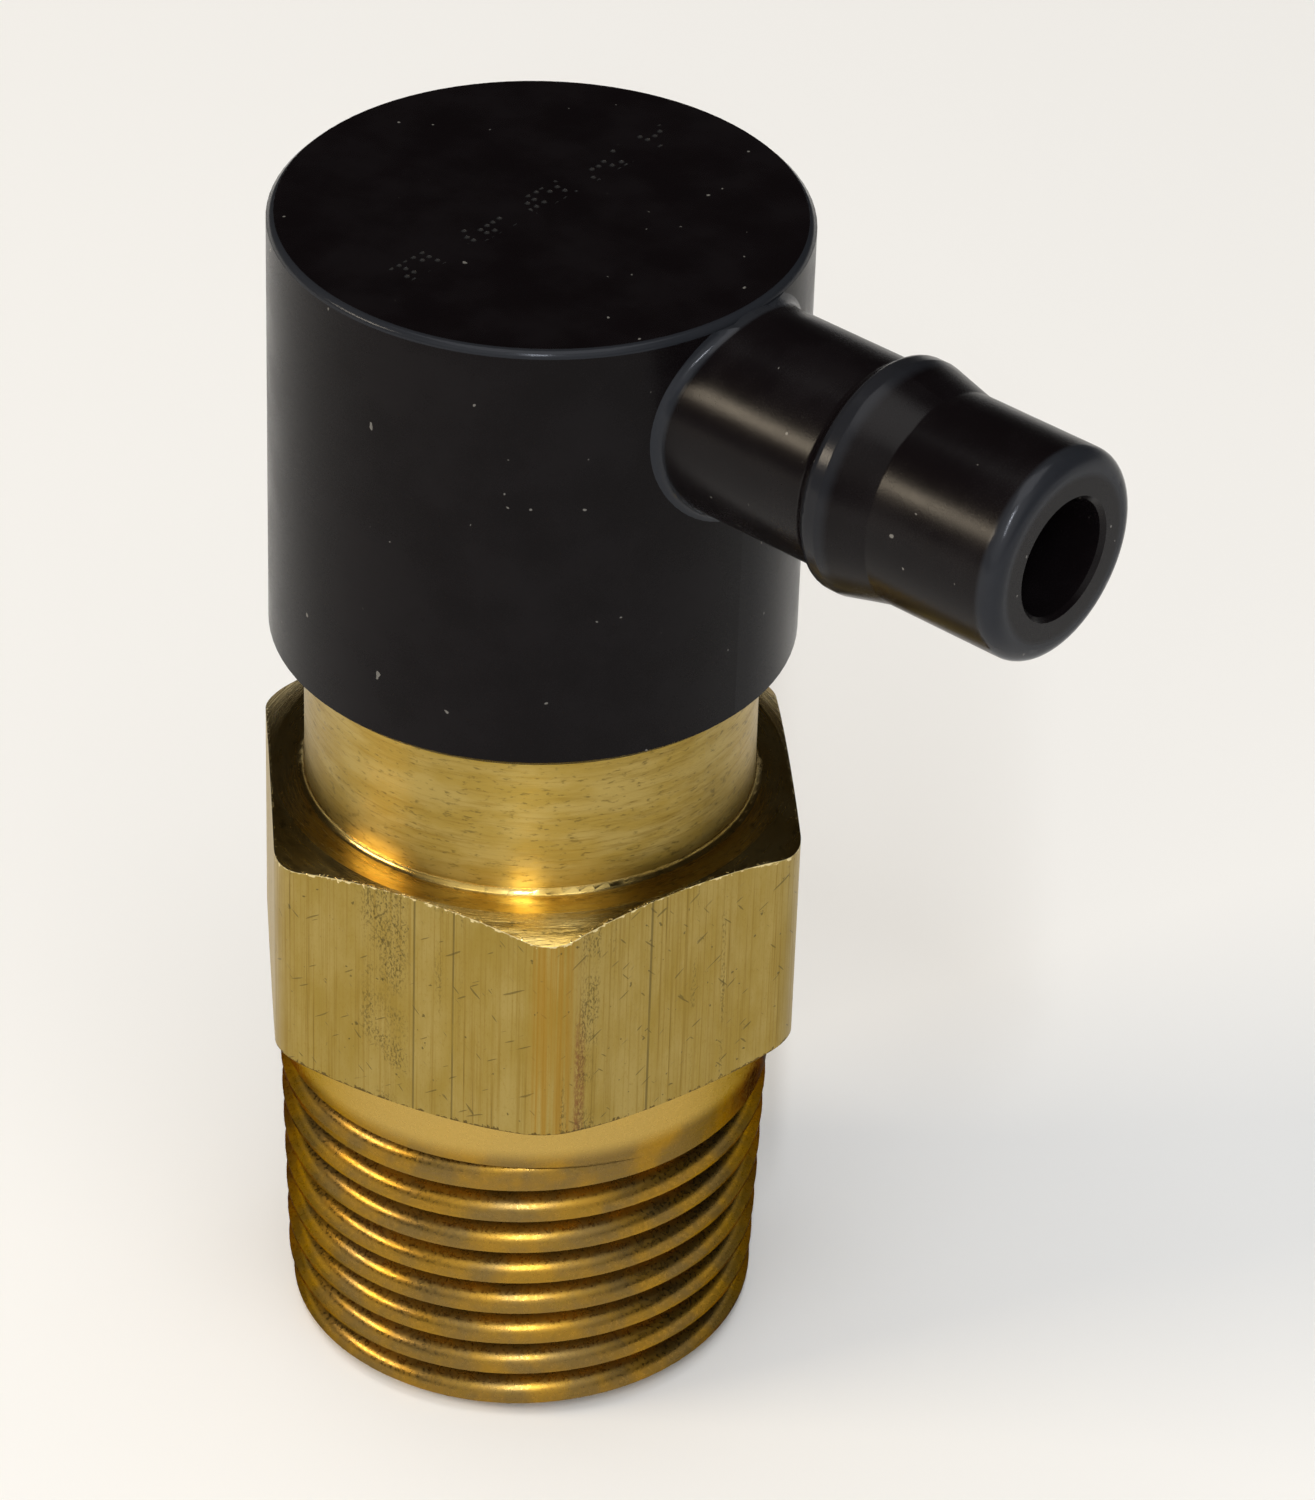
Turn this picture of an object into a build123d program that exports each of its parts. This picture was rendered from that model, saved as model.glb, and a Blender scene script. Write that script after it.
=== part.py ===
"""Thermostatic relief valve with a swivelling hose-barb cap, 3/8-18 NPT inlet.

Millimetres. Origin on the valve's axis in the plane of the threaded end, +Z up towards
the cap, +X along the hose barb.
"""

import os
from math import cos, radians, sin, sqrt, tan

from build123d import *

# Taper pipe thread, 3/8-18 NPT
thread_pitch = 25.4 / 18
thread_end_dia = 16.7
thread_taper = 1 / 16
thread_depth = 1.0
groove_root_width = 0.14
groove_half_angle = 30
full_turns = 9
runout_turns = 0.55
runout_top = 11.4
runout_start_angle = 150
end_chamfer = 0.6
thread_lead = 3

# Hexagon
thread_length = 13.6
hex_height = 8.95
hex_across_flats = 18.0
hex_corner_radius = 1.7
hex_chamfer_angle = 23
hex_chamfer_crown = 0.04
hex_corner_angle = -44.2
shoulder_land = 0.1

# Neck and swivel
neck_dia = 15.6
neck_length = 13.65
neck_base_fillet = 0.25
swivel_clearance = 0.05
swivel_end_clearance = 0.04
neck_end_chamfer = 0.4
exposed_neck = 5.95
oring_section = 1.5
oring_clearance = 0.02
oring_groove_extra = 0.4
wire_dia = 0.9
wire_gap_angle = 40
groove_play = 0.03
wire_height = 7.75
lower_oring_height = 9.85
upper_oring_height = 12.15
washer_thickness = 0.4
washer_width = 1.8

# Cap
cap_dia = 18.0
cap_height = 15.95
cap_edge_bevel = 0.25
cap_mouth_chamfer = 0.25
cavity_dia = 12.0
cap_roof = 1.75

# Hose barb
barb_drop = 3.78
barb_tube_dia = 7.26
barb_bore_dia = 4.0
barb_reach = 21.9
barb_root_fillet = 0.35
barb_seat_depth = 1.25
barb_spigot_dia = 5.4
bead_dia = 8.1
bead_start = 14.15
bead_steep = 0.45
bead_flat = 0.5
bead_ramp = 1.75
bead_rounding = 0.3
tip_rounding = 0.6
bore_mouth_chamfer = 0.15

# Inlet, seat and throat
inlet_dia = 11.8
inlet_depth = 19.6
seat_mouth_dia = 9.2
throat_dia = 6.6
throat_top = 23.5
stop_ledge_dia = 8.4
stop_bore_dia = 9.2
stop_floor = 27.5

# Stop plug
stop_plug_height = 4.0
stop_socket_depth = 1.5
stop_hole_count = 4
stop_hole_dia = 1.8
stop_hole_circle = 5.6
driver_slot_width = 0.9
driver_slot_depth = 0.9

# Snap ring and spring seat at the inlet
snap_ring_z = 1.2
snap_ring_thickness = 0.8
snap_groove_depth = 0.45
snap_ring_width = 0.85
snap_ring_gap_angle = 50
snap_ring_gap_direction = -90
snap_ear_angle = 32
snap_ear_dia = 1.6
snap_ear_hole_dia = 0.7
seat_thickness = 0.8
seat_clearance = 0.05
seat_window_count = 4
seat_window_dia = 3.4
seat_window_circle = 12.6

# Wax actuator
tail_dia = 4.8
tail_clearance = 0.1
tail_bottom = 2.6
cup_dia = 7.2
cup_bottom = 6.0
cup_rim_dia = 9.2
cup_rim_bottom = 12.4
cup_rim_top = 15.8
cup_wall = 0.5
cup_corner = 0.3
crimp_thickness = 0.5
crimp_overhang = 0.9
boot_thickness = 0.7
boot_plug_length = 1.3
chafe_disc_thickness = 0.5
guide_flange_thickness = 1.7
guide_barrel_dia = 4.0
guide_barrel_top = 21.6
guide_step_dia = 5.2
piston_dia = 2.0
piston_clearance = 0.03
piston_seat_gap = 0.02
piston_chamfer = 0.2

# Valve disc, its seal and its clip
disc_dia = 8.6
disc_thickness = 1.8
seal_section = 1.2
seal_gap = 0.02
seal_ring_dia = 7.4
disc_lip_height = 0.4
disc_lip_rise = 0.25
disc_lip = 0.15
clip_thickness = 0.5
clip_groove_depth = 0.3
clip_width = 0.9
clip_gap_angle = 100

# Return spring
spring_wire_dia = 0.7
spring_coils = 4.5
spring_side_gap = 0.15
spring_end_gap = 0.02

# Levels and radii that follow from the values above
shoulder_z = thread_length + hex_height
neck_top = shoulder_z + neck_length
cap_bottom = shoulder_z + exposed_neck
cap_top = cap_bottom + cap_height
barb_z = cap_top - barb_drop
neck_r = neck_dia / 2
swivel_bore_r = neck_r + swivel_clearance
oring_r = oring_section / 2
oring_ring_r = swivel_bore_r - oring_clearance - oring_r
oring_groove_r = oring_ring_r - oring_r
wire_r = wire_dia / 2
wire_ring_r = neck_r + swivel_clearance / 2
wire_z = shoulder_z + wire_height
oring_levels = {
    "swivel_oring_lower": shoulder_z + lower_oring_height,
    "swivel_oring_upper": shoulder_z + upper_oring_height,
}
swivel_bore_top = neck_top + washer_thickness + swivel_end_clearance
cavity_top = cap_top - cap_roof
cap_r = cap_dia / 2
barb_seat_x = cap_r - barb_seat_depth
end_r = thread_end_dia / 2
top_thread_r = end_r + thread_length * thread_taper / 2
snap_ring_outer_r = inlet_dia / 2 + snap_groove_depth
seat_bottom = snap_ring_z + snap_ring_thickness
seat_top = seat_bottom + seat_thickness
cup_cavity_r = cup_dia / 2 - cup_wall
boot_bottom = cup_rim_top - crimp_thickness - guide_flange_thickness - boot_thickness
guide_flange_bottom = boot_bottom + boot_thickness
guide_flange_top = guide_flange_bottom + guide_flange_thickness
guide_flange_r = cup_rim_dia / 2 - cup_wall
chafe_disc_bottom = guide_flange_bottom + boot_plug_length
piston_bottom = chafe_disc_bottom + chafe_disc_thickness + piston_seat_gap
piston_top = stop_floor + stop_socket_depth
guide_bore_r = piston_dia / 2 + piston_clearance
seal_r = seal_section / 2
seal_ring_r = seal_ring_dia / 2
seat_cone_sum = seat_mouth_dia / 2 + inlet_depth
seal_z = seat_cone_sum - seal_ring_r - (seal_r + seal_gap) * sqrt(2)
disc_top = seal_z - seal_r
disc_bottom = disc_top - disc_thickness
hub_r = seal_ring_r - seal_r
hub_top = seal_z + seal_r + disc_lip_rise
clip_top = hub_top + clip_thickness
seat_cone_top = inlet_depth + (seat_mouth_dia - throat_dia) / 2
spring_ring_r = cup_dia / 2 + spring_side_gap + spring_wire_dia / 2


def ring_profile(inner, outer, bottom, top):
    """Rectangle between two radii and two levels, for turned rings."""
    with Locations(((inner + outer) / 2, (bottom + top) / 2)):
        return Rectangle(outer - inner, top - bottom)


def polar_point(radius, angle):
    """Point at a radius and an angle in degrees."""
    return (radius * cos(radians(angle)), radius * sin(radians(angle)))


def ring_gap(outer, gap_angle, direction, mode=Mode.ADD):
    """Wedge that opens a ring over gap_angle, centred on direction."""
    return Polygon(
        (0, 0),
        polar_point(2 * outer, direction - gap_angle / 2),
        polar_point(2 * outer, direction + gap_angle / 2),
        align=None,
        mode=mode,
    )


# Helical groove of the taper thread, kept as a tool for the body only
cone_angle = Vector(1, 0, thread_taper / 2).get_angle(Vector(1, 0, 0))
groove_root_r = end_r - thread_depth
full_height = full_turns * thread_pitch
runout_height = runout_turns * thread_pitch
runout_rise = thread_depth + 0.15
groove_bottom = runout_top - runout_height - full_height
groove_overshoot = 0.04
groove_mouth = thread_depth + groove_overshoot
groove_half_mouth = groove_root_width / 2 + groove_mouth * tan(radians(groove_half_angle))


def groove_profile(radius, level):
    """Trapezoidal groove section with its root at radius, opening outwards."""
    return Polygon(
        (radius, level - groove_root_width / 2),
        (radius + groove_mouth, level - groove_half_mouth),
        (radius + groove_mouth, level + groove_half_mouth),
        (radius, level + groove_root_width / 2),
        align=None,
    )


start_root_r = groove_root_r + groove_bottom * thread_taper / 2
runout_root_r = start_root_r + full_height * thread_taper / 2
with BuildPart() as full_groove:
    with BuildLine() as full_path:
        Helix(thread_pitch, full_height, start_root_r, cone_angle=cone_angle)
    with BuildSketch(Plane.XZ):
        groove_profile(start_root_r, 0)
    sweep(path=full_path.line, is_frenet=True)


def runout_point(turn):
    """Point of the groove's root where the tool backs out of the cut."""
    radius = runout_root_r + runout_rise * (turn / runout_turns) ** 3
    return (*polar_point(radius, 360 * turn), full_height + thread_pitch * turn)


runout_steps = 16
with BuildPart() as runout_groove:
    with BuildLine() as runout_path:
        Spline(*(runout_point(runout_turns * step / runout_steps) for step in range(runout_steps + 1)))
    with BuildSketch(Plane.XZ):
        groove_profile(runout_root_r, full_height)
    sweep(path=runout_path.line, is_frenet=True)

# Valve body: thread, hexagon and neck turned from one bar
hex_corner_r = hex_across_flats / sqrt(3)
chamfer_start_r = hex_across_flats / 2 - shoulder_land
chamfer_drop = (hex_corner_r - chamfer_start_r) * tan(radians(hex_chamfer_angle))
hex_plane = Plane(
    (0, 0, thread_length),
    x_dir=(*polar_point(1, hex_corner_angle), 0),
    z_dir=(0, 0, 1),
)

with BuildPart() as valve_body:
    # the blank starts below the finished end, so that the groove runs out through it
    with BuildSketch(Plane.XZ):
        Polygon(
            (0, -thread_lead),
            (end_r - thread_lead * thread_taper / 2, -thread_lead),
            (top_thread_r, thread_length),
            (0, thread_length),
            align=None,
        )
    revolve(axis=Axis.Z)
    with Locations(Location((0, 0, groove_bottom), (0, 0, runout_start_angle))):
        add(full_groove.part, mode=Mode.SUBTRACT)
        add(runout_groove.part, mode=Mode.SUBTRACT)
    with BuildSketch(Plane.XZ):
        Polygon(
            (0, 0),
            (end_r - end_chamfer, 0),
            (end_r + end_chamfer, 2 * end_chamfer),
            (end_r + end_chamfer, -thread_lead),
            (0, -thread_lead),
            align=None,
        )
    revolve(axis=Axis.Z, mode=Mode.SUBTRACT)
    with BuildSketch(hex_plane) as hexagon:
        RegularPolygon(hex_corner_r, 6)
        fillet(hexagon.vertices(), hex_corner_radius)
    extrude(amount=hex_height)
    # both ends of the hexagon are turned to the same shallow, slightly crowned cone
    with BuildSketch(Plane.XZ):
        for face_z, inward in ((thread_length, 1), (shoulder_z, -1)):
            land_edge = (chamfer_start_r, face_z)
            corner = (hex_corner_r, face_z + inward * chamfer_drop)
            with BuildLine():
                SagittaArc(land_edge, corner, -inward * hex_chamfer_crown)
                Polyline(
                    corner,
                    (hex_corner_r, face_z - inward),
                    (chamfer_start_r, face_z - inward),
                    land_edge,
                )
            make_face()
    revolve(axis=Axis.Z, mode=Mode.SUBTRACT)
    with BuildSketch(Plane.XY.offset(shoulder_z)):
        Circle(neck_r)
    extrude(amount=neck_length)
    circles = valve_body.edges().filter_by(GeomType.CIRCLE)
    neck_base = circles.filter_by_position(Axis.Z, shoulder_z - 0.01, shoulder_z + 0.01)
    fillet(neck_base.sort_by(SortBy.RADIUS)[0], neck_base_fillet)
    chamfer(valve_body.edges().group_by(Axis.Z)[-1], neck_end_chamfer)
    with BuildSketch(Plane.XZ):
        with BuildLine():
            Polyline(
                (0, 0),
                (inlet_dia / 2, 0),
                (inlet_dia / 2, inlet_depth),
                (seat_mouth_dia / 2, inlet_depth),
                (throat_dia / 2, seat_cone_top),
                (throat_dia / 2, throat_top),
                (stop_ledge_dia / 2, throat_top),
                (stop_ledge_dia / 2, stop_floor),
                (stop_bore_dia / 2, stop_floor),
                (stop_bore_dia / 2, neck_top),
                (0, neck_top),
                close=True,
            )
        make_face()
        ring_profile(inlet_dia / 2 - 0.1, snap_ring_outer_r, snap_ring_z, seat_bottom)
        half_groove = oring_r + oring_groove_extra / 2
        for level in oring_levels.values():
            ring_profile(oring_groove_r, cap_r, level - half_groove, level + half_groove)
        ring_profile(wire_ring_r - wire_r, cap_r, wire_z - wire_r, wire_z + wire_r + groove_play)
    revolve(axis=Axis.Z, mode=Mode.SUBTRACT)
valve_body.part.label = "valve_body"

# Outlet cap: swivel bore below, cavity above, radial seat for the barb
barb_plane = Plane((0, 0, barb_z), x_dir=(0, 1, 0), z_dir=(1, 0, 0))

with BuildPart() as outlet_cap:
    with BuildSketch(Plane.XY.offset(cap_bottom)):
        Circle(cap_r)
    extrude(amount=cap_height)
    chamfer(outlet_cap.edges().group_by(Axis.Z)[-1], cap_edge_bevel)
    chamfer(outlet_cap.edges().group_by(Axis.Z)[0], cap_edge_bevel)
    with BuildSketch(Plane.XZ):
        with BuildLine():
            Polyline(
                (0, cap_bottom),
                (swivel_bore_r + cap_mouth_chamfer, cap_bottom),
                (swivel_bore_r, cap_bottom + cap_mouth_chamfer),
                (swivel_bore_r, swivel_bore_top),
                (cavity_dia / 2, swivel_bore_top),
                (cavity_dia / 2, cavity_top),
                (0, cavity_top),
                close=True,
            )
        make_face()
        half_wire_groove = wire_r + groove_play
        ring_profile(
            swivel_bore_r - 0.1,
            wire_ring_r + half_wire_groove,
            wire_z - half_wire_groove,
            wire_z + half_wire_groove,
        )
    revolve(axis=Axis.Z, mode=Mode.SUBTRACT)
    with BuildSketch(barb_plane.offset(barb_seat_x)):
        Circle(barb_tube_dia / 2)
    extrude(amount=barb_seat_depth + 1, mode=Mode.SUBTRACT)
    with BuildSketch(barb_plane.offset(cavity_dia / 2 - 1)):
        Circle(barb_spigot_dia / 2)
    extrude(amount=barb_seat_x - cavity_dia / 2 + 1, mode=Mode.SUBTRACT)
outlet_cap.part.label = "outlet_cap"

# Hose barb: turned tube with one bead, pressed into the cap's side
bead_top = bead_start + bead_steep
bead_end = bead_top + bead_flat + bead_ramp
tube_r = barb_tube_dia / 2
bore_r = barb_bore_dia / 2

cap_side_plane = Plane((0, 0, cap_bottom), x_dir=(-1, 0, 0), z_dir=(0, 0, 1))

with BuildPart() as hose_barb:
    # the root fillet is rolled against the cap's side, which is then taken away
    with BuildSketch(cap_side_plane):
        Circle(cap_r)
    extrude(amount=2 * cap_height)
    with BuildSketch(barb_plane):
        Circle(tube_r)
    extrude(amount=bead_start)
    root_edges = hose_barb.edges().filter_by(
        lambda edge: edge.geom_type not in (GeomType.CIRCLE, GeomType.LINE)
    )
    fillet(root_edges, barb_root_fillet)
    with BuildSketch(cap_side_plane):
        Circle(cap_r)
    extrude(amount=2 * cap_height, mode=Mode.SUBTRACT)
    with BuildSketch(Plane.XY.offset(cap_top - cap_edge_bevel)):
        Rectangle(4 * cap_r, 4 * cap_r)
    extrude(amount=2 * cap_r, mode=Mode.SUBTRACT)
    with BuildSketch(Plane.XZ) as barb_outline:
        with BuildLine():
            Polyline(
                (cavity_dia / 2, barb_z),
                (cavity_dia / 2, barb_z + barb_spigot_dia / 2),
                (barb_seat_x, barb_z + barb_spigot_dia / 2),
                (barb_seat_x, barb_z + tube_r),
                (bead_start, barb_z + tube_r),
                (bead_top, barb_z + bead_dia / 2),
                (bead_top + bead_flat, barb_z + bead_dia / 2),
                (bead_end, barb_z + tube_r),
                (barb_reach, barb_z + tube_r),
                (barb_reach, barb_z),
                close=True,
            )
        make_face()
        rounded = barb_outline.vertices().filter_by(
            lambda point: bead_start - 0.1 < point.X < bead_end + 0.1
        )
        fillet(rounded, bead_rounding)
        tip_corner = barb_outline.vertices().group_by(Axis.X)[-1].sort_by(Axis.Y)[-1]
        fillet(tip_corner, tip_rounding)
    revolve(axis=Axis((0, 0, barb_z), (1, 0, 0)))
    with BuildSketch(barb_plane.offset(cavity_dia / 2)):
        Circle(bore_r)
    extrude(amount=barb_reach - cavity_dia / 2, mode=Mode.SUBTRACT)
    chamfer(
        hose_barb.edges().filter_by(GeomType.CIRCLE).group_by(Axis.X)[-1].sort_by(SortBy.RADIUS)[0],
        bore_mouth_chamfer,
    )
hose_barb.part.label = "hose_barb"

# Swivel seals, retaining wire and wear washer
swivel_orings = []
for seal_name, level in oring_levels.items():
    with BuildPart() as swivel_oring:
        with BuildSketch(Plane.XZ):
            with Locations((oring_ring_r, level)):
                Circle(oring_r)
        revolve(axis=Axis.Z)
    swivel_oring.part.label = seal_name
    swivel_orings.append(swivel_oring.part)

with BuildPart() as swivel_retaining_wire:
    with BuildSketch(Plane.XZ):
        with Locations((wire_ring_r, wire_z)):
            Circle(wire_r)
    revolve(axis=Axis.Z)
    with BuildSketch(Plane.XY.offset(wire_z - wire_dia)):
        ring_gap(wire_ring_r, wire_gap_angle, 180)
    extrude(amount=2 * wire_dia, mode=Mode.SUBTRACT)
swivel_retaining_wire.part.label = "swivel_retaining_wire"

washer_outer_r = neck_r - neck_end_chamfer
with BuildPart() as swivel_wear_washer:
    with BuildSketch(Plane.XY.offset(neck_top)):
        Circle(washer_outer_r)
        Circle(washer_outer_r - washer_width, mode=Mode.SUBTRACT)
    extrude(amount=washer_thickness)
swivel_wear_washer.part.label = "swivel_wear_washer"

# Stop plug in the neck, with flow holes, a blind socket below and a driver slot above
with BuildPart() as piston_stop_plug:
    with BuildSketch(Plane.XY.offset(stop_floor)):
        Circle(stop_bore_dia / 2)
    extrude(amount=stop_plug_height)
    with BuildSketch(Plane.XY.offset(stop_floor)):
        Circle(guide_bore_r)
    extrude(amount=stop_socket_depth, mode=Mode.SUBTRACT)
    with BuildSketch(Plane.XY.offset(stop_floor)):
        with PolarLocations(stop_hole_circle / 2, stop_hole_count, start_angle=180 / stop_hole_count):
            Circle(stop_hole_dia / 2)
    extrude(amount=stop_plug_height, mode=Mode.SUBTRACT)
    with BuildSketch(Plane.XY.offset(stop_floor + stop_plug_height - driver_slot_depth)):
        Rectangle(stop_bore_dia, driver_slot_width)
    extrude(amount=driver_slot_depth, mode=Mode.SUBTRACT)
piston_stop_plug.part.label = "piston_stop_plug"

# Spring seat: scalloped washer that also guides the cup's tail
with BuildPart() as spring_seat:
    with BuildSketch(Plane.XY.offset(seat_bottom)):
        Circle(inlet_dia / 2 - seat_clearance)
        with PolarLocations(seat_window_circle / 2, seat_window_count):
            Circle(seat_window_dia / 2, mode=Mode.SUBTRACT)
        Circle(tail_dia / 2 + tail_clearance, mode=Mode.SUBTRACT)
    extrude(amount=seat_thickness)
spring_seat.part.label = "spring_seat"

with BuildPart() as inlet_snap_ring:
    with BuildSketch(Plane.XY.offset(snap_ring_z)):
        Circle(snap_ring_outer_r)
        Circle(snap_ring_outer_r - snap_ring_width, mode=Mode.SUBTRACT)
        ring_gap(snap_ring_outer_r, snap_ring_gap_angle, snap_ring_gap_direction, Mode.SUBTRACT)
        for side in (-1, 1):
            ear_angle = snap_ring_gap_direction + side * snap_ear_angle
            with Locations(polar_point(snap_ring_outer_r - snap_ear_dia / 2 - seat_clearance, ear_angle)):
                Circle(snap_ear_dia / 2)
                Circle(snap_ear_hole_dia / 2, mode=Mode.SUBTRACT)
    extrude(amount=snap_ring_thickness)
inlet_snap_ring.part.label = "inlet_snap_ring"

# Wax actuator: cup with its rolled rim, wax, boot, anti-chafe disc, guide and piston
with BuildPart() as actuator_cup:
    with BuildSketch(Plane.XZ) as cup_outline:
        with BuildLine():
            Polyline(
                (0, tail_bottom),
                (tail_dia / 2 - cup_corner, tail_bottom),
                (tail_dia / 2, tail_bottom + cup_corner),
                (tail_dia / 2, cup_bottom),
                (cup_dia / 2 - cup_corner, cup_bottom),
                (cup_dia / 2, cup_bottom + cup_corner),
                (cup_dia / 2, cup_rim_bottom),
                (cup_rim_dia / 2, cup_rim_bottom),
                (cup_rim_dia / 2, cup_rim_top - cup_corner),
                (cup_rim_dia / 2 - cup_corner, cup_rim_top),
                (guide_flange_r - crimp_overhang, cup_rim_top),
                (guide_flange_r - crimp_overhang, guide_flange_top),
                (guide_flange_r, guide_flange_top),
                (guide_flange_r, boot_bottom),
                (cup_cavity_r, boot_bottom),
                (cup_cavity_r, cup_bottom + cup_wall),
                (tail_dia / 2 - cup_wall, cup_bottom + cup_wall),
                (tail_dia / 2 - cup_wall, tail_bottom + cup_wall),
                (0, tail_bottom + cup_wall),
                close=True,
            )
        make_face()
    revolve(axis=Axis.Z)
actuator_cup.part.label = "actuator_cup"

with BuildPart() as wax_charge:
    with BuildSketch(Plane.XZ):
        ring_profile(0, tail_dia / 2 - cup_wall, tail_bottom + cup_wall, cup_bottom + cup_wall)
        ring_profile(0, cup_cavity_r, cup_bottom + cup_wall, boot_bottom)
    revolve(axis=Axis.Z)
wax_charge.part.label = "wax_charge"

with BuildPart() as rubber_boot:
    with BuildSketch(Plane.XZ):
        ring_profile(0, guide_flange_r, boot_bottom, guide_flange_bottom)
        ring_profile(0, guide_bore_r, guide_flange_bottom, chafe_disc_bottom)
    revolve(axis=Axis.Z)
rubber_boot.part.label = "rubber_boot"

with BuildPart() as anti_chafe_disc:
    with BuildSketch(Plane.XY.offset(chafe_disc_bottom)):
        Circle(guide_bore_r)
    extrude(amount=chafe_disc_thickness)
anti_chafe_disc.part.label = "anti_chafe_disc"

barrel_r = guide_barrel_dia / 2
with BuildPart() as actuator_guide:
    with BuildSketch(Plane.XZ):
        ring_profile(guide_bore_r, guide_flange_r, guide_flange_bottom, guide_flange_top)
        ring_profile(guide_bore_r, guide_step_dia / 2, guide_flange_top, disc_bottom)
        ring_profile(guide_bore_r, barrel_r, disc_bottom, hub_top)
        ring_profile(guide_bore_r, barrel_r - clip_groove_depth, hub_top, clip_top)
        ring_profile(guide_bore_r, barrel_r, clip_top, guide_barrel_top)
    revolve(axis=Axis.Z)
actuator_guide.part.label = "actuator_guide"

with BuildPart() as actuator_piston:
    with BuildSketch(Plane.XY.offset(piston_bottom)):
        Circle(piston_dia / 2)
    extrude(amount=piston_top - piston_bottom)
    chamfer(actuator_piston.edges().group_by(Axis.Z)[-1], piston_chamfer)
actuator_piston.part.label = "actuator_piston"

# Valve disc on the guide, with its seal ring and clip
with BuildPart() as valve_disc:
    with BuildSketch(Plane.XZ):
        ring_profile(barrel_r, disc_dia / 2, disc_bottom, disc_top)
        ring_profile(barrel_r, hub_r, disc_top, hub_top - disc_lip_height)
        ring_profile(barrel_r, hub_r + disc_lip, hub_top - disc_lip_height, hub_top)
    revolve(axis=Axis.Z)
valve_disc.part.label = "valve_disc"

with BuildPart() as valve_disc_seal:
    with BuildSketch(Plane.XZ):
        with Locations((seal_ring_r, seal_z)):
            Circle(seal_r)
    revolve(axis=Axis.Z)
valve_disc_seal.part.label = "valve_disc_seal"

clip_inner_r = barrel_r - clip_groove_depth
with BuildPart() as disc_retaining_clip:
    with BuildSketch(Plane.XY.offset(hub_top)):
        Circle(clip_inner_r + clip_width)
        Circle(clip_inner_r, mode=Mode.SUBTRACT)
        ring_gap(clip_inner_r + clip_width, clip_gap_angle, 0, Mode.SUBTRACT)
    extrude(amount=clip_thickness)
disc_retaining_clip.part.label = "disc_retaining_clip"

# Return spring between the spring seat and the cup's rim
spring_wire_r = spring_wire_dia / 2
spring_start_z = seat_top + spring_wire_r
spring_height = cup_rim_bottom - spring_end_gap - spring_wire_r - spring_start_z
with BuildPart() as return_spring:
    with BuildLine() as coil:
        Helix(spring_height / spring_coils, spring_height, spring_ring_r, center=(0, 0, spring_start_z))
    with BuildSketch(Plane(coil.line @ 0, z_dir=coil.line % 0)):
        Circle(spring_wire_r)
    sweep(path=coil.line, is_frenet=True)
return_spring.part.label = "return_spring"

os.makedirs("parts", exist_ok=True)
pieces = [
    valve_body.part,
    outlet_cap.part,
    hose_barb.part,
    *swivel_orings,
    swivel_retaining_wire.part,
    swivel_wear_washer.part,
    piston_stop_plug.part,
    spring_seat.part,
    inlet_snap_ring.part,
    actuator_cup.part,
    wax_charge.part,
    rubber_boot.part,
    anti_chafe_disc.part,
    actuator_guide.part,
    actuator_piston.part,
    valve_disc.part,
    valve_disc_seal.part,
    disc_retaining_clip.part,
    return_spring.part,
]
for piece in pieces:
    export_step(piece, f"parts/{piece.label}.step")
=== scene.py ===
"""Looks of the thermostatic relief valve: materials, floor, lights and camera.

Metres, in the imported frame: origin on the axis at the threaded end, +Z to the cap,
+X along the hose barb.
"""

from math import cos, pi, radians, sin

import bpy
from mathutils import Matrix, Vector


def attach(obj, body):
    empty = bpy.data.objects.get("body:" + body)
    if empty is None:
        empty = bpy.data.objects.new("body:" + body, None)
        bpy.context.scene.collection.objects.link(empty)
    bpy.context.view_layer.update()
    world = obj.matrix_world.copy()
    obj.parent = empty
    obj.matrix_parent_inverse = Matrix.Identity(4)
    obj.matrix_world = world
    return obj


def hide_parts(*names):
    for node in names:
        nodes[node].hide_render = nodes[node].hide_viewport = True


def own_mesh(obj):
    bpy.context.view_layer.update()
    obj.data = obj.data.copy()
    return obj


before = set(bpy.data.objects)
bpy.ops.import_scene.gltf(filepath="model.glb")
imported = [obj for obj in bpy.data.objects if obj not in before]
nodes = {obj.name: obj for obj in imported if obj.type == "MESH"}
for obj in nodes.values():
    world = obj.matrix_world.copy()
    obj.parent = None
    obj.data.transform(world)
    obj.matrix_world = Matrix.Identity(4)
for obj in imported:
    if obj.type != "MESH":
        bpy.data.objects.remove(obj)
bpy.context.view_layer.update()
scene = bpy.context.scene
scene.view_settings.view_transform = "Standard"

MM = 1000.0


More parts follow.
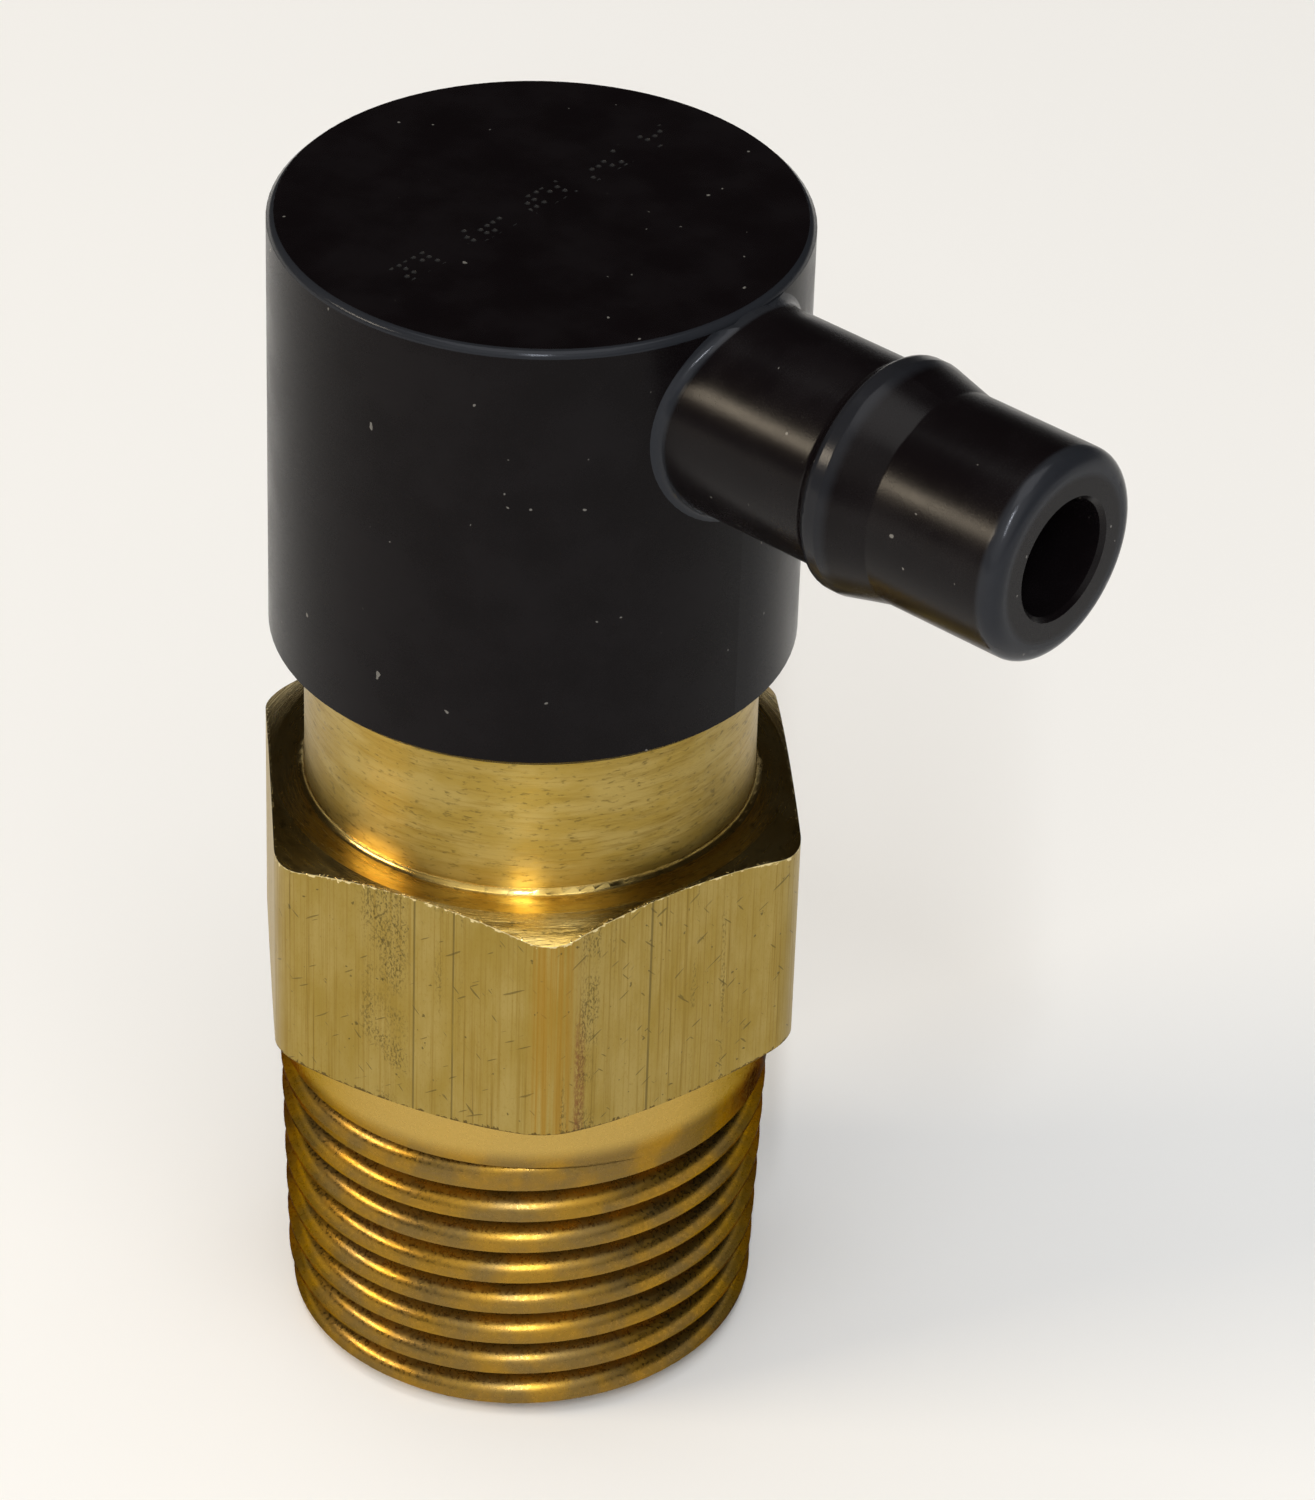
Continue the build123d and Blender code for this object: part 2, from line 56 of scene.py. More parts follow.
# ---------------------------------------------------------------- node graphs
class Graph:
    """A small helper that adds nodes to one node tree."""

    def __init__(self, tree):
        self.tree = tree
        tree.nodes.clear()

    def node(self, kind, inputs=None, **props):
        made = self.tree.nodes.new(kind)
        for key, value in props.items():
            setattr(made, key, value)
        for key, value in (inputs or {}).items():
            self.feed(made.inputs[key], value)
        return made

    def feed(self, socket, value):
        if isinstance(value, bpy.types.NodeSocket):
            self.tree.links.new(value, socket)
        else:
            socket.default_value = value

    def math(self, operation, first, second=0.0, clamp=False):
        made = self.node("ShaderNodeMath", operation=operation, use_clamp=clamp)
        for socket, value in zip(made.inputs, (first, second)):
            self.feed(socket, value)
        return made.outputs[0]

    def vector(self, operation, first, second=None, scale=None):
        made = self.node("ShaderNodeVectorMath", operation=operation)
        self.feed(made.inputs[0], first)
        if second is not None:
            self.feed(made.inputs[1], second)
        if scale is not None:
            self.feed(made.inputs["Scale"], scale)
        if operation in ("DOT_PRODUCT", "LENGTH"):
            return made.outputs["Value"]
        return made.outputs[0]

    def combine(self, x, y, z):
        return self.node("ShaderNodeCombineXYZ", {"X": x, "Y": y, "Z": z}).outputs[0]

    def noise(self, vector, scale=1.0, detail=2.0, rough=0.5):
        made = self.node(
            "ShaderNodeTexNoise",
            {"Vector": vector, "Scale": scale, "Detail": detail, "Roughness": rough},
        )
        return made.outputs[0]

    def ramp(self, value, low, high, out_low=0.0, out_high=1.0):
        """Smooth step of value from low to high, given as out_low to out_high."""
        made = self.node(
            "ShaderNodeMapRange",
            {
                "Value": value,
                "From Min": low,
                "From Max": high,
                "To Min": out_low,
                "To Max": out_high,
            },
            interpolation_type="SMOOTHSTEP",
        )
        return made.outputs[0]

    def band(self, value, centre, half_width, edge):
        """1 within half_width of centre, falling to 0 over edge."""
        away = self.math("ABSOLUTE", self.math("SUBTRACT", value, centre))
        return self.ramp(away, half_width, half_width + edge, 1.0, 0.0)

    def mix(self, factor, first, second):
        made = self.node("ShaderNodeMix", data_type="RGBA")
        for index, value in ((0, factor), (6, first), (7, second)):
            self.feed(made.inputs[index], value)
        return made.outputs[2]

    def gradient(self, value, stops):
        """Colour ramp through (position, colour) stops."""
        made = self.node("ShaderNodeValToRGB", {"Fac": value})
        elements = made.color_ramp.elements
        while len(elements) < len(stops):
            elements.new(0.5)
        for element, (position, colour) in zip(elements, stops):
            element.position = position
            element.color = (*colour, 1.0)
        return made.outputs[0]

    def bump(self, height, strength, distance, normal=None):
        inputs = {"Height": height, "Strength": strength, "Distance": distance}
        if normal is not None:
            inputs["Normal"] = normal
        return self.node("ShaderNodeBump", inputs).outputs[0]


class Place:
    """Where a shading point is, in millimetres in the object's frame."""

    def __init__(self, graph):
        coords = graph.node("ShaderNodeTexCoord").outputs["Object"]
        self.position = graph.vector("SCALE", coords, scale=MM)
        split = graph.node("ShaderNodeSeparateXYZ", {"Vector": self.position})
        self.x, self.y, self.z = split.outputs
        self.radius = graph.vector("LENGTH", graph.combine(self.x, self.y, 0.0))


def stretched(graph, place, across, along):
    """Noise coordinates for lines that run along Z."""
    return graph.combine(
        graph.math("MULTIPLY", place.x, across),
        graph.math("MULTIPLY", place.y, across),
        graph.math("MULTIPLY", place.z, along),
    )


def ringed(graph, place, across, along):
    """Noise coordinates for marks turned around the Z axis."""
    level = graph.math("ADD", place.radius, place.z)
    return graph.combine(
        graph.math("MULTIPLY", place.x, along),
        graph.math("MULTIPLY", place.y, along),
        graph.math("MULTIPLY", level, across),
    )


def new_material(name):
    material = bpy.data.materials.new(name)
    material.use_nodes = True
    graph = Graph(material.node_tree)
    shader = graph.node("ShaderNodeBsdfPrincipled")
    output = graph.node("ShaderNodeOutputMaterial")
    graph.tree.links.new(shader.outputs[0], output.inputs[0])
    return material, graph, shader


# ---------------------------------------------------------------- brass
BRASS = (0.40, 0.275, 0.058)
BRASS_PALE = (0.46, 0.335, 0.098)
BRASS_DEEP = (0.28, 0.175, 0.028)
BRASS_DULL = (0.11, 0.080, 0.024)
BRASS_ORANGE = (0.37, 0.205, 0.028)
BRASS_RED = (0.22, 0.085, 0.03)
# pale brass for burrs, brightened as a painted glint
BRASS_BURR_GLINT = (0.92, 0.78, 0.42)
BRASS_WARM = (0.60, 0.40, 0.10)
BRASS_FRESH = (0.72, 0.54, 0.19)
BRASS_CREST = (0.225, 0.145, 0.045)
BRASS_SHANK = (0.55, 0.37, 0.10)
BRASS_FLAT = (0.335, 0.232, 0.048)
BRASS_FLAT_PALE = (0.40, 0.295, 0.088)
# dark brass for a painted shade line along the hexagon's base edge
BRASS_EDGE_SHADE = (0.10, 0.065, 0.02)
# dark edge tint that paints shade on the thread's sides at grazing angles
THREAD_GRAZING_SHADE = (0.10, 0.07, 0.04)

# the hexagon, in millimetres and degrees
FRONT_CORNER = -44.2
HALF_FLATS = 9.0
HALF_FACE_ANGLE = 30.0
SHOULDER_MM = 22.55
HEX_BASE_MM = 13.6
CHAMFER_START = 8.9
CHAMFER_SLOPE = 0.4245
RIM_INNER, RIM_OUTER = 8.88, 8.96

# stains on the hexagon: degrees from the front corner, then half width and fade
ORANGE_STAIN = (1.0, 2.6, 3.0)
RED_STAIN = (6.6, 0.6, 0.9)
SPECKLED_BANDS = ((-36.5, 3.6, 3.0), (8.6, 1.4, 1.2))
DARK_LINES = ((-29.3, 0.12, 0.2), (-20.0, 0.10, 0.2), (23.3, 0.16, 0.25))

# the thread, in millimetres
CREST_RADIUS = 8.35
TAPER_PER_SIDE = 1 / 32
SHANK_START, SHANK_FULL = 11.6, 12.4


def rgb(colour):
    return (*colour, 1.0)


def tint(graph, base, mask, amount, colour):
    """Base colour with some of another colour where the mask is 1."""
    return graph.mix(graph.math("MULTIPLY", mask, amount), base, rgb(colour))


class HexPlace:
    """Where a shading point is on the hexagon: angle from the front corner, and edges."""

    def __init__(self, graph, place):
        angle = graph.math("MULTIPLY", graph.math("ARCTAN2", place.y, place.x), 180 / pi)
        self.turn = graph.math("SUBTRACT", angle, FRONT_CORNER)
        folded = graph.math("PINGPONG", self.turn, HALF_FACE_ANGLE)
        off_flat = graph.math("SUBTRACT", HALF_FACE_ANGLE, folded)
        off_flat = graph.math("MULTIPLY", off_flat, pi / 180)
        self.reach = graph.math("MULTIPLY", place.radius, graph.math("COSINE", off_flat))
        drop = graph.math("SUBTRACT", place.radius, CHAMFER_START)
        drop = graph.math("MULTIPLY", drop, CHAMFER_SLOPE)
        top = graph.math("SUBTRACT", SHOULDER_MM, drop)
        base = graph.math("ADD", HEX_BASE_MM, drop)
        self.below_top = graph.math("SUBTRACT", top, place.z)
        self.above_base = graph.math("SUBTRACT", place.z, base)


def rounded_normal(graph, place, lift, weight):
    """Shading normal turned by weight to one that points away from Z, raised lift radians."""
    outward = graph.vector("NORMALIZE", graph.combine(place.x, place.y, 0.0))
    aimed = graph.vector(
        "ADD",
        graph.vector("SCALE", outward, scale=graph.math("COSINE", lift)),
        graph.combine(0.0, 0.0, graph.math("SINE", lift)),
    )
    aimed = graph.node(
        "ShaderNodeVectorTransform",
        {"Vector": aimed},
        vector_type="NORMAL",
        convert_from="OBJECT",
        convert_to="WORLD",
    ).outputs[0]
    plain = graph.node("ShaderNodeNewGeometry").outputs["Normal"]
    blend = graph.node("ShaderNodeMix", {"Factor": weight}, data_type="VECTOR")
    graph.feed(blend.inputs[4], plain)
    graph.feed(blend.inputs[5], aimed)
    return graph.vector("NORMALIZE", blend.outputs[1])


def finish_brass(graph, shader, colour, rough, height, strength, depth, normal=None):
    graph.feed(shader.inputs["Base Color"], colour)
    shader.inputs["Metallic"].default_value = 1.0
    graph.feed(shader.inputs["Roughness"], rough)
    graph.feed(shader.inputs["Normal"], graph.bump(height, strength, depth, normal))


def turned_brass(name, plain, pale, rough_low, rough_high, stretch):
    """Turned surfaces of the body: fine rings, dull specks and a ragged outer rim, a burr
    with a painted glint.
    """
    material, graph, shader = new_material(name)
    place = Place(graph)
    hexagon = HexPlace(graph, place)
    fine = graph.noise(ringed(graph, place, 7.0, 0.45), detail=4.0, rough=0.7)
    coarse = graph.noise(ringed(graph, place, 2.4, 0.10), detail=2.0)
    cloud = graph.noise(ringed(graph, place, 1.4, 0.45), detail=4.0)
    grain = graph.noise(ringed(graph, place, 8.0, 2.8), detail=3.0, rough=0.6)
    colour = graph.mix(graph.ramp(cloud, 0.35, 0.65), rgb(plain), rgb(pale))
    colour = tint(graph, colour, graph.ramp(fine, 0.48, 0.72), 0.50, BRASS_DEEP)
    colour = tint(graph, colour, graph.ramp(grain, 0.55, 0.72), 0.60, BRASS_DULL)
    # painted glint: pale brass along the ragged outer rim stands in for sparkles on the burr
    ragged = graph.noise(place.position, 3.5, detail=3.0, rough=0.7)
    at_rim = graph.ramp(hexagon.reach, RIM_INNER, RIM_OUTER)
    burr_glint = graph.math("MULTIPLY", at_rim, graph.ramp(ragged, 0.52, 0.62))
    colour = tint(graph, colour, burr_glint, 0.75, BRASS_BURR_GLINT)
    rough = graph.ramp(fine, 0.2, 0.8, rough_low, rough_high)
    height = graph.math("ADD", fine, graph.math("MULTIPLY", coarse, 0.8))
    height = graph.math("ADD", height, graph.math("MULTIPLY", burr_glint, ragged))
    finish_brass(graph, shader, colour, rough, height, 0.6, 0.00003)
    shader.inputs["Anisotropic"].default_value = stretch
    shader.inputs["Anisotropic Rotation"].default_value = 0.25
    tangent = graph.node("ShaderNodeTangent", direction_type="RADIAL", axis="Z")
    graph.feed(shader.inputs["Tangent"], tangent.outputs[0])
    return material


def scuffs(graph, place, turn, angle, across, along, low, high):
    """Sparse short scratches at an angle on the flats. turn is degrees around the hexagon."""
    cosine, sine = cos(radians(angle)), sin(radians(angle))
    around = graph.math("MULTIPLY", turn, HALF_FLATS * pi / 180)
    turned_u = graph.math(
        "ADD",
        graph.math("MULTIPLY", around, cosine),
        graph.math("MULTIPLY", place.z, sine),
    )
    turned_v = graph.math(
        "SUBTRACT",
        graph.math("MULTIPLY", place.z, cosine),
        graph.math("MULTIPLY", around, sine),
    )
    cell = graph.combine(
        graph.math("MULTIPLY", turned_u, along),
        graph.math("MULTIPLY", turned_v, across),
        angle,
    )
    return graph.ramp(graph.noise(cell, detail=1.0), low, high)


def drawn_brass():
    """Hexagon flats: bright drawn bar with lines along it, scuffs, pits and stains."""
    material, graph, shader = new_material("brass_drawn")
    place = Place(graph)
    hexagon = HexPlace(graph, place)
    fine = graph.noise(stretched(graph, place, 9.0, 0.10), detail=3.0, rough=0.6)
    broad = graph.noise(stretched(graph, place, 1.3, 0.04), detail=2.0)
    cloud = graph.noise(stretched(graph, place, 0.8, 0.3), detail=5.0, rough=0.6)
    pits = graph.noise(place.position, 3.6, detail=2.0)
    grain = graph.noise(stretched(graph, place, 14.0, 7.0), detail=4.0, rough=0.65)
    colour = graph.mix(graph.ramp(cloud, 0.3, 0.7), rgb(BRASS_FLAT), rgb(BRASS_FLAT_PALE))
    colour = tint(graph, colour, graph.ramp(fine, 0.48, 0.68), 0.50, BRASS_DEEP)
    colour = tint(graph, colour, graph.ramp(fine, 0.64, 0.76), 0.60, BRASS_DULL)
    colour = tint(graph, colour, graph.ramp(grain, 0.52, 0.70), 0.35, BRASS_DEEP)
    scratch = graph.math(
        "MAXIMUM",
        scuffs(graph, place, hexagon.turn, 35.0, 7.0, 0.9, 0.71, 0.74),
        scuffs(graph, place, hexagon.turn, -50.0, 7.0, 1.0, 0.72, 0.75),
    )
    colour = tint(graph, colour, scratch, 0.60, BRASS_DULL)

    # stains and worn bands
    orange = graph.band(hexagon.turn, *ORANGE_STAIN)
    orange = graph.math("MULTIPLY", orange, graph.ramp(fine, 0.3, 0.6))
    colour = tint(graph, colour, orange, 0.70, BRASS_ORANGE)
    low = graph.ramp(place.z, 17.2, 19.5, 1.0, 0.15)
    red = graph.math("MULTIPLY", graph.band(hexagon.turn, *RED_STAIN), low)
    red = graph.math("MULTIPLY", red, graph.ramp(grain, 0.35, 0.6))
    colour = tint(graph, colour, red, 0.75, BRASS_RED)
    grains = graph.ramp(grain, 0.46, 0.62)
    bands = graph.math("ADD", *(graph.band(hexagon.turn, *band) for band in SPECKLED_BANDS))
    bands = graph.math("ADD", bands, graph.ramp(broad, 0.62, 0.70), clamp=True)
    fade = graph.ramp(graph.noise(place.position, 0.5, detail=2.0), 0.35, 0.55)
    stripes = graph.math("MULTIPLY", graph.math("MULTIPLY", bands, grains), fade)
    colour = tint(graph, colour, stripes, 0.70, BRASS_DULL)
    lines = 0.0
    for line in DARK_LINES:
        lines = graph.math("ADD", lines, graph.band(hexagon.turn, *line))
    lines = graph.math("MULTIPLY", lines, graph.ramp(cloud, 0.25, 0.5), clamp=True)
    colour = tint(graph, colour, lines, 0.65, BRASS_DULL)
    pit_mask = graph.ramp(pits, 0.70, 0.75)
    colour = tint(graph, colour, pit_mask, 0.75, BRASS_DULL)

    # ragged burr where the turned chamfers meet the flats: a painted glint on the top edge, a
    # painted shade line on the base edge
    ragged = graph.noise(place.position, 4.0, detail=3.0, rough=0.7)
    width = graph.ramp(ragged, 0.45, 0.7, -0.02, 0.12)
    top_burr_glint = graph.math("LESS_THAN", hexagon.below_top, width)
    base_edge_shade = graph.math("LESS_THAN", hexagon.above_base, width)
    # painted glint on the top edge burr
    colour = tint(graph, colour, top_burr_glint, 0.75, BRASS_BURR_GLINT)
    # painted shade: a dark broken line along the base edge, where the burr throws shadow
    colour = tint(graph, colour, base_edge_shade, 0.85, BRASS_EDGE_SHADE)

    rough = graph.ramp(fine, 0.25, 0.8, 0.32, 0.50)
    rough = graph.math("ADD", rough, graph.math("MULTIPLY", stripes, 0.12))
    height = fine
    for mask, depth in ((pit_mask, 0.8), (stripes, 0.3), (lines, 0.6), (scratch, 0.6)):
        height = graph.math("SUBTRACT", height, graph.math("MULTIPLY", mask, depth))
    finish_brass(graph, shader, colour, rough, height, 0.5, 0.00002)
    return material


def threaded_brass():
    """Thread: worn crests shaded round, roots darkened with painted shade, and painted shade
    at grazing angles from a dark edge tint.
    """
    material, graph, shader = new_material("brass_thread")
    place = Place(graph)
    fine = graph.noise(ringed(graph, place, 9.0, 0.7), detail=3.0, rough=0.6)
    cloud = graph.noise(place.position, 0.6, detail=4.0)
    grain = graph.noise(place.position, 7.0, detail=3.0, rough=0.6)
    taper = graph.math("MULTIPLY", place.z, TAPER_PER_SIDE)
    depth = graph.math("SUBTRACT", graph.math("ADD", taper, CREST_RADIUS), place.radius)
    # painted shade: colour darkens towards the root of each groove
    root_shade = graph.ramp(depth, 0.62, 1.0)
    colour = graph.mix(graph.ramp(cloud, 0.35, 0.65), rgb(BRASS_CREST), rgb(BRASS_ORANGE))
    colour = tint(graph, colour, graph.ramp(fine, 0.5, 0.75), 0.45, BRASS_DEEP)
    colour = tint(graph, colour, graph.ramp(grain, 0.50, 0.72), 0.15, BRASS_DEEP)
    colour = tint(graph, colour, root_shade, 0.75, BRASS_DULL)
    shank = graph.ramp(place.z, SHANK_START, SHANK_FULL)
    colour = tint(graph, colour, shank, 0.9, BRASS_SHANK)
    rough = graph.ramp(grain, 0.3, 0.7, 0.24, 0.38)
    height = graph.math(
        "ADD", graph.math("MULTIPLY", fine, 0.8), graph.math("MULTIPLY", grain, 0.05)
    )
    # painted shade: a dark specular tint darkens the thread's grazing reflections, so its
    # sides read darker
    shader.inputs["Specular Tint"].default_value = rgb(THREAD_GRAZING_SHADE)
    near_crest = graph.ramp(depth, 0.05, 0.74, 0.75, 0.0)
    worn_crest = rounded_normal(graph, place, 0.0, near_crest)
    finish_brass(graph, shader, colour, rough, height, 0.4, 0.00002, worn_crest)
    return material


def bored_brass(name, colours, rough_low, rough_high):
    """Machined inner pieces: fine rings, duller than the outside."""
    material, graph, shader = new_material(name)
    place = Place(graph)
    fine = graph.noise(ringed(graph, place, 12.0, 0.3), detail=3.0)
    cloud = graph.noise(place.position, 0.6, detail=3.0)
    mixed = graph.math(
        "ADD", graph.math("MULTIPLY", fine, 0.5), graph.math("MULTIPLY", cloud, 0.5)
    )
    colour = graph.mix(graph.ramp(mixed, 0.35, 0.65), *map(rgb, colours))
    rough = graph.ramp(fine, 0.25, 0.8, rough_low, rough_high)
    finish_brass(graph, shader, colour, rough, fine, 0.4, 0.00002)
    return material


# ---------------------------------------------------------------- black anodising
CAP_TOP_MM = 44.45
CAP_BEVEL_MM = 0.25
CAP_RADIUS_MM = 9.0
BARB_AXIS_MM = 40.67
TIP_EDGE_X = (21.15, 21.4)
TIP_EDGE_RADIUS = (2.7, 3.0)
ROOT_EDGE = (9.20, 9.40)
BEAD_CREST = (3.92, 4.02)
BLACK = (0.0034, 0.0024, 0.0028)
BLACK_PALE = (0.0054, 0.0042, 0.0048)
DUST = (0.25, 0.24, 0.22)
# grey-blue tint painted on the anodised edges as a glint
GLINT_GREY_BLUE = (0.10, 0.115, 0.14)
DOT_GREY = (0.06, 0.06, 0.06)
EDGE_GLOSS = 0.13


def dot_marks(graph, place):
    """Punched dots in a row across the cap's top, picked by noise. They spell nothing."""
    on_top = graph.ramp(place.z, CAP_TOP_MM - 0.05, CAP_TOP_MM - 0.01)
    row = graph.band(graph.math("ADD", place.x, 0.5), 0.0, 0.50, 0.02)
    extent = graph.band(place.y, 0.0, 7.0, 0.02)
    groups = graph.math("SINE", graph.math("MULTIPLY", place.y, 2.1))
    groups = graph.math("GREATER_THAN", groups, -0.55)
    cells = graph.node(
        "ShaderNodeTexVoronoi",
        {"Vector": place.position, "Scale": 2.9, "Randomness": 0.35},
        feature="F1",
        voronoi_dimensions="2D",
    )
    dot = graph.ramp(cells.outputs["Distance"], 0.16, 0.32, 1.0, 0.0)
    chance = graph.noise(cells.outputs["Position"], 1.7, detail=0.0)
    chance = graph.math("GREATER_THAN", chance, 0.47)
    marks = dot
    for mask in (on_top, row, extent, groups, chance):
        marks = graph.math("MULTIPLY", marks, mask)
    return marks


def anodised(name, along_x, gloss, sheen_level):
    """Black anodised aluminium: satin, with faint tool rings, dust, and edges tinted pale
    grey-blue as a painted glint.

    along_x is for the barb, whose tool rings run around X; the cap's run around Z.
    """
    material, graph, shader = new_material(name)
    place = Place(graph)
    if along_x:
        level = graph.math("MULTIPLY", place.x, 8.0)
        rings = graph.combine(
            level, graph.math("MULTIPLY", place.y, 0.2), graph.math("MULTIPLY", place.z, 0.2)
        )
    else:
        rings = ringed(graph, place, 8.0, 0.2)
    fine = graph.noise(rings, detail=3.0, rough=0.6)
    cloud = graph.noise(place.position, 0.4, detail=4.0)
    grain = graph.noise(place.position, 22.0, detail=2.0)
    dust = graph.noise(place.position, 3.2, detail=0.0)
    speck = graph.ramp(dust, 0.855, 0.87)
    base = graph.mix(graph.ramp(cloud, 0.35, 0.7), rgb(BLACK), rgb(BLACK_PALE))
    base = tint(graph, base, speck, 0.5, DUST)
    if along_x:
        above_axis = graph.math("SUBTRACT", place.z, BARB_AXIS_MM)
        away = graph.vector("LENGTH", graph.combine(0.0, place.y, above_axis))
        glint_edge = graph.math(
            "MULTIPLY",
            graph.ramp(place.x, *TIP_EDGE_X),
            graph.ramp(away, *TIP_EDGE_RADIUS),
        )
        root = graph.ramp(place.radius, *ROOT_EDGE, 1.0, 0.0)
        glint_edge = graph.math("MAXIMUM", glint_edge, root)
        glint_edge = graph.math("MAXIMUM", glint_edge, graph.ramp(away, *BEAD_CREST, 0.0, 0.6))
    else:
        lift = graph.math("SUBTRACT", place.z, CAP_TOP_MM - CAP_BEVEL_MM)
        lift = graph.math("MULTIPLY", lift, 0.5 * pi / CAP_BEVEL_MM)
        near_edge = graph.math("GREATER_THAN", place.radius, CAP_RADIUS_MM - CAP_BEVEL_MM)
        glint_edge = graph.math("MULTIPLY", graph.math("GREATER_THAN", lift, 0.0), near_edge)
    # painted glint: a grey-blue tint, some metal and lower roughness on the edges
    base = tint(graph, base, glint_edge, 0.18, GLINT_GREY_BLUE)
    graph.feed(shader.inputs["Metallic"], graph.math("MULTIPLY", glint_edge, 0.22))
    rough = graph.ramp(cloud, 0.3, 0.75, gloss, gloss + 0.07)
    rough = graph.math("ADD", rough, graph.ramp(grain, 0.4, 0.8, 0.0, 0.06))
    rough = graph.math("SUBTRACT", rough, graph.math("MULTIPLY", glint_edge, gloss - EDGE_GLOSS))
    height = graph.math(
        "ADD", graph.math("MULTIPLY", fine, 0.6), graph.math("MULTIPLY", grain, 0.5)
    )
    if along_x:
        normal = graph.bump(height, 0.35, 0.00001)
    else:
        rounded = rounded_normal(graph, place, lift, glint_edge)
        normal = graph.bump(height, 0.35, 0.00001, rounded)
        marks = dot_marks(graph, place)
        normal = graph.bump(graph.math("SUBTRACT", 1.0, marks), 1.0, 0.00006, normal)
        base = tint(graph, base, marks, 0.35, DOT_GREY)
    graph.feed(shader.inputs["Base Color"], base)
    graph.feed(shader.inputs["Roughness"], rough)
    graph.feed(shader.inputs["Normal"], normal)
    shader.inputs["Specular IOR Level"].default_value = sheen_level
    return material


# ---------------------------------------------------------------- the small inner pieces
def simple(name, dark, light, metallic, rough_low, rough_high, scale):
    """Cloudy two-tone finish with matching roughness and a light bump."""
    material, graph, shader = new_material(name)
    place = Place(graph)
    cloud = graph.noise(place.position, scale, detail=4.0, rough=0.6)
    grain = graph.noise(place.position, scale * 9.0, detail=2.0)
    colour = graph.mix(graph.ramp(cloud, 0.35, 0.65), rgb(dark), rgb(light))
    graph.feed(shader.inputs["Base Color"], colour)
    shader.inputs["Metallic"].default_value = metallic
    rough = graph.ramp(grain, 0.3, 0.7, rough_low, rough_high)
    graph.feed(shader.inputs["Roughness"], rough)
    graph.feed(shader.inputs["Normal"], graph.bump(grain, 0.3, 0.00001))
    return material


NECK = turned_brass("brass_neck", BRASS, BRASS_PALE, 0.28, 0.42, 0.84)
TURNED = turned_brass("brass_turned", BRASS_WARM, BRASS_FRESH, 0.17, 0.30, 0.65)
DRAWN = drawn_brass()
THREADED = threaded_brass()
BORED = bored_brass("brass_bored", (BRASS_DULL, BRASS), 0.30, 0.50)
COPPER = bored_brass("copper_cup", ((0.55, 0.22, 0.11), (0.78, 0.38, 0.22)), 0.28, 0.45)
CAP_BLACK = anodised("anodised_cap", False, 0.23, 0.085)
BARB_BLACK = anodised("anodised_barb", True, 0.21, 0.13)
STEEL = simple("stainless", (0.42, 0.41, 0.39), (0.62, 0.61, 0.59), 1.0, 0.22, 0.42, 1.2)
RUBBER = simple("rubber", (0.010, 0.010, 0.011), (0.024, 0.023, 0.023), 0.0, 0.45, 0.70, 0.8)
PTFE = simple("ptfe", (0.70, 0.69, 0.65), (0.82, 0.81, 0.78), 0.0, 0.35, 0.55, 0.7)
WAX = simple("wax", (0.60, 0.50, 0.30), (0.74, 0.65, 0.44), 0.0, 0.45, 0.60, 0.9)

SLOT_MATERIALS = {
    "brass_body": TURNED,
    "black_anodised": CAP_BLACK,
    "brass_inner": BORED,
    "copper_cup": COPPER,
    "stainless": STEEL,
    "black_rubber": RUBBER,
    "ptfe": PTFE,
    "wax": WAX,
}
for piece in nodes.values():
    slot = piece.material_slots[0]
    slot.material = SLOT_MATERIALS[slot.material.name]
nodes["hose_barb"].material_slots[0].material = BARB_BLACK

cad_spring = nodes["return_spring"]
spring = bpy.data.objects.new("return_spring_coils", cad_spring.data.copy())
scene.collection.objects.link(spring)
spring.matrix_world = cad_spring.matrix_world.copy()
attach(spring, "body")
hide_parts("return_spring")
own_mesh(spring)

# the body is one piece of brass with five kinds of surface; sizes here are in metres
THREAD_TOP = 0.0136
SHOULDER = 0.02255
FLAT_REACH = 0.00899
BORE_REACH = 0.0061
INWARD_REACH = 0.0075
TOP_MARGIN = 0.00001
FOOT_FILLET = 0.00024
UPRIGHT = 0.05
TURNED_SLOT, DRAWN_SLOT, THREADED_SLOT, BORED_SLOT, NECK_SLOT = range(5)

body_mesh = nodes["valve_body"].data
for material in (DRAWN, THREADED, BORED, NECK):
    body_mesh.materials.append(material)
for face in body_mesh.polygons:
    centre = face.center
    reach = (centre.x**2 + centre.y**2) ** 0.5
    outward = centre.x * face.normal.x + centre.y * face.normal.y
    upright = abs(face.normal.z) < UPRIGHT
    face.material_index = TURNED_SLOT
    if reach < BORE_REACH or (outward < 0 and reach < INWARD_REACH):
        face.material_index = BORED_SLOT
    elif centre.z < THREAD_TOP - TOP_MARGIN:
        face.material_index = THREADED_SLOT
    elif centre.z < SHOULDER and upright and reach > FLAT_REACH:
        face.material_index = DRAWN_SLOT
    elif centre.z > SHOULDER + FOOT_FILLET:
        face.material_index = NECK_SLOT

# ---------------------------------------------------------------- camera
AZIMUTH = radians(41.23)
ELEVATION = radians(35.2)
ROLL = radians(1.224)
TARGET = Vector((0.0, 0.0, 0.02080))
DISTANCE = 0.21799
AIM_RIGHT = 0.004460
AIM_UP = 0.001838


def towards(azimuth, elevation):
    """Unit vector from the valve out to a place round it, azimuth 0 being along -Y."""
    flat = cos(elevation)
    return Vector((sin(azimuth) * flat, -cos(azimuth) * flat, sin(elevation)))


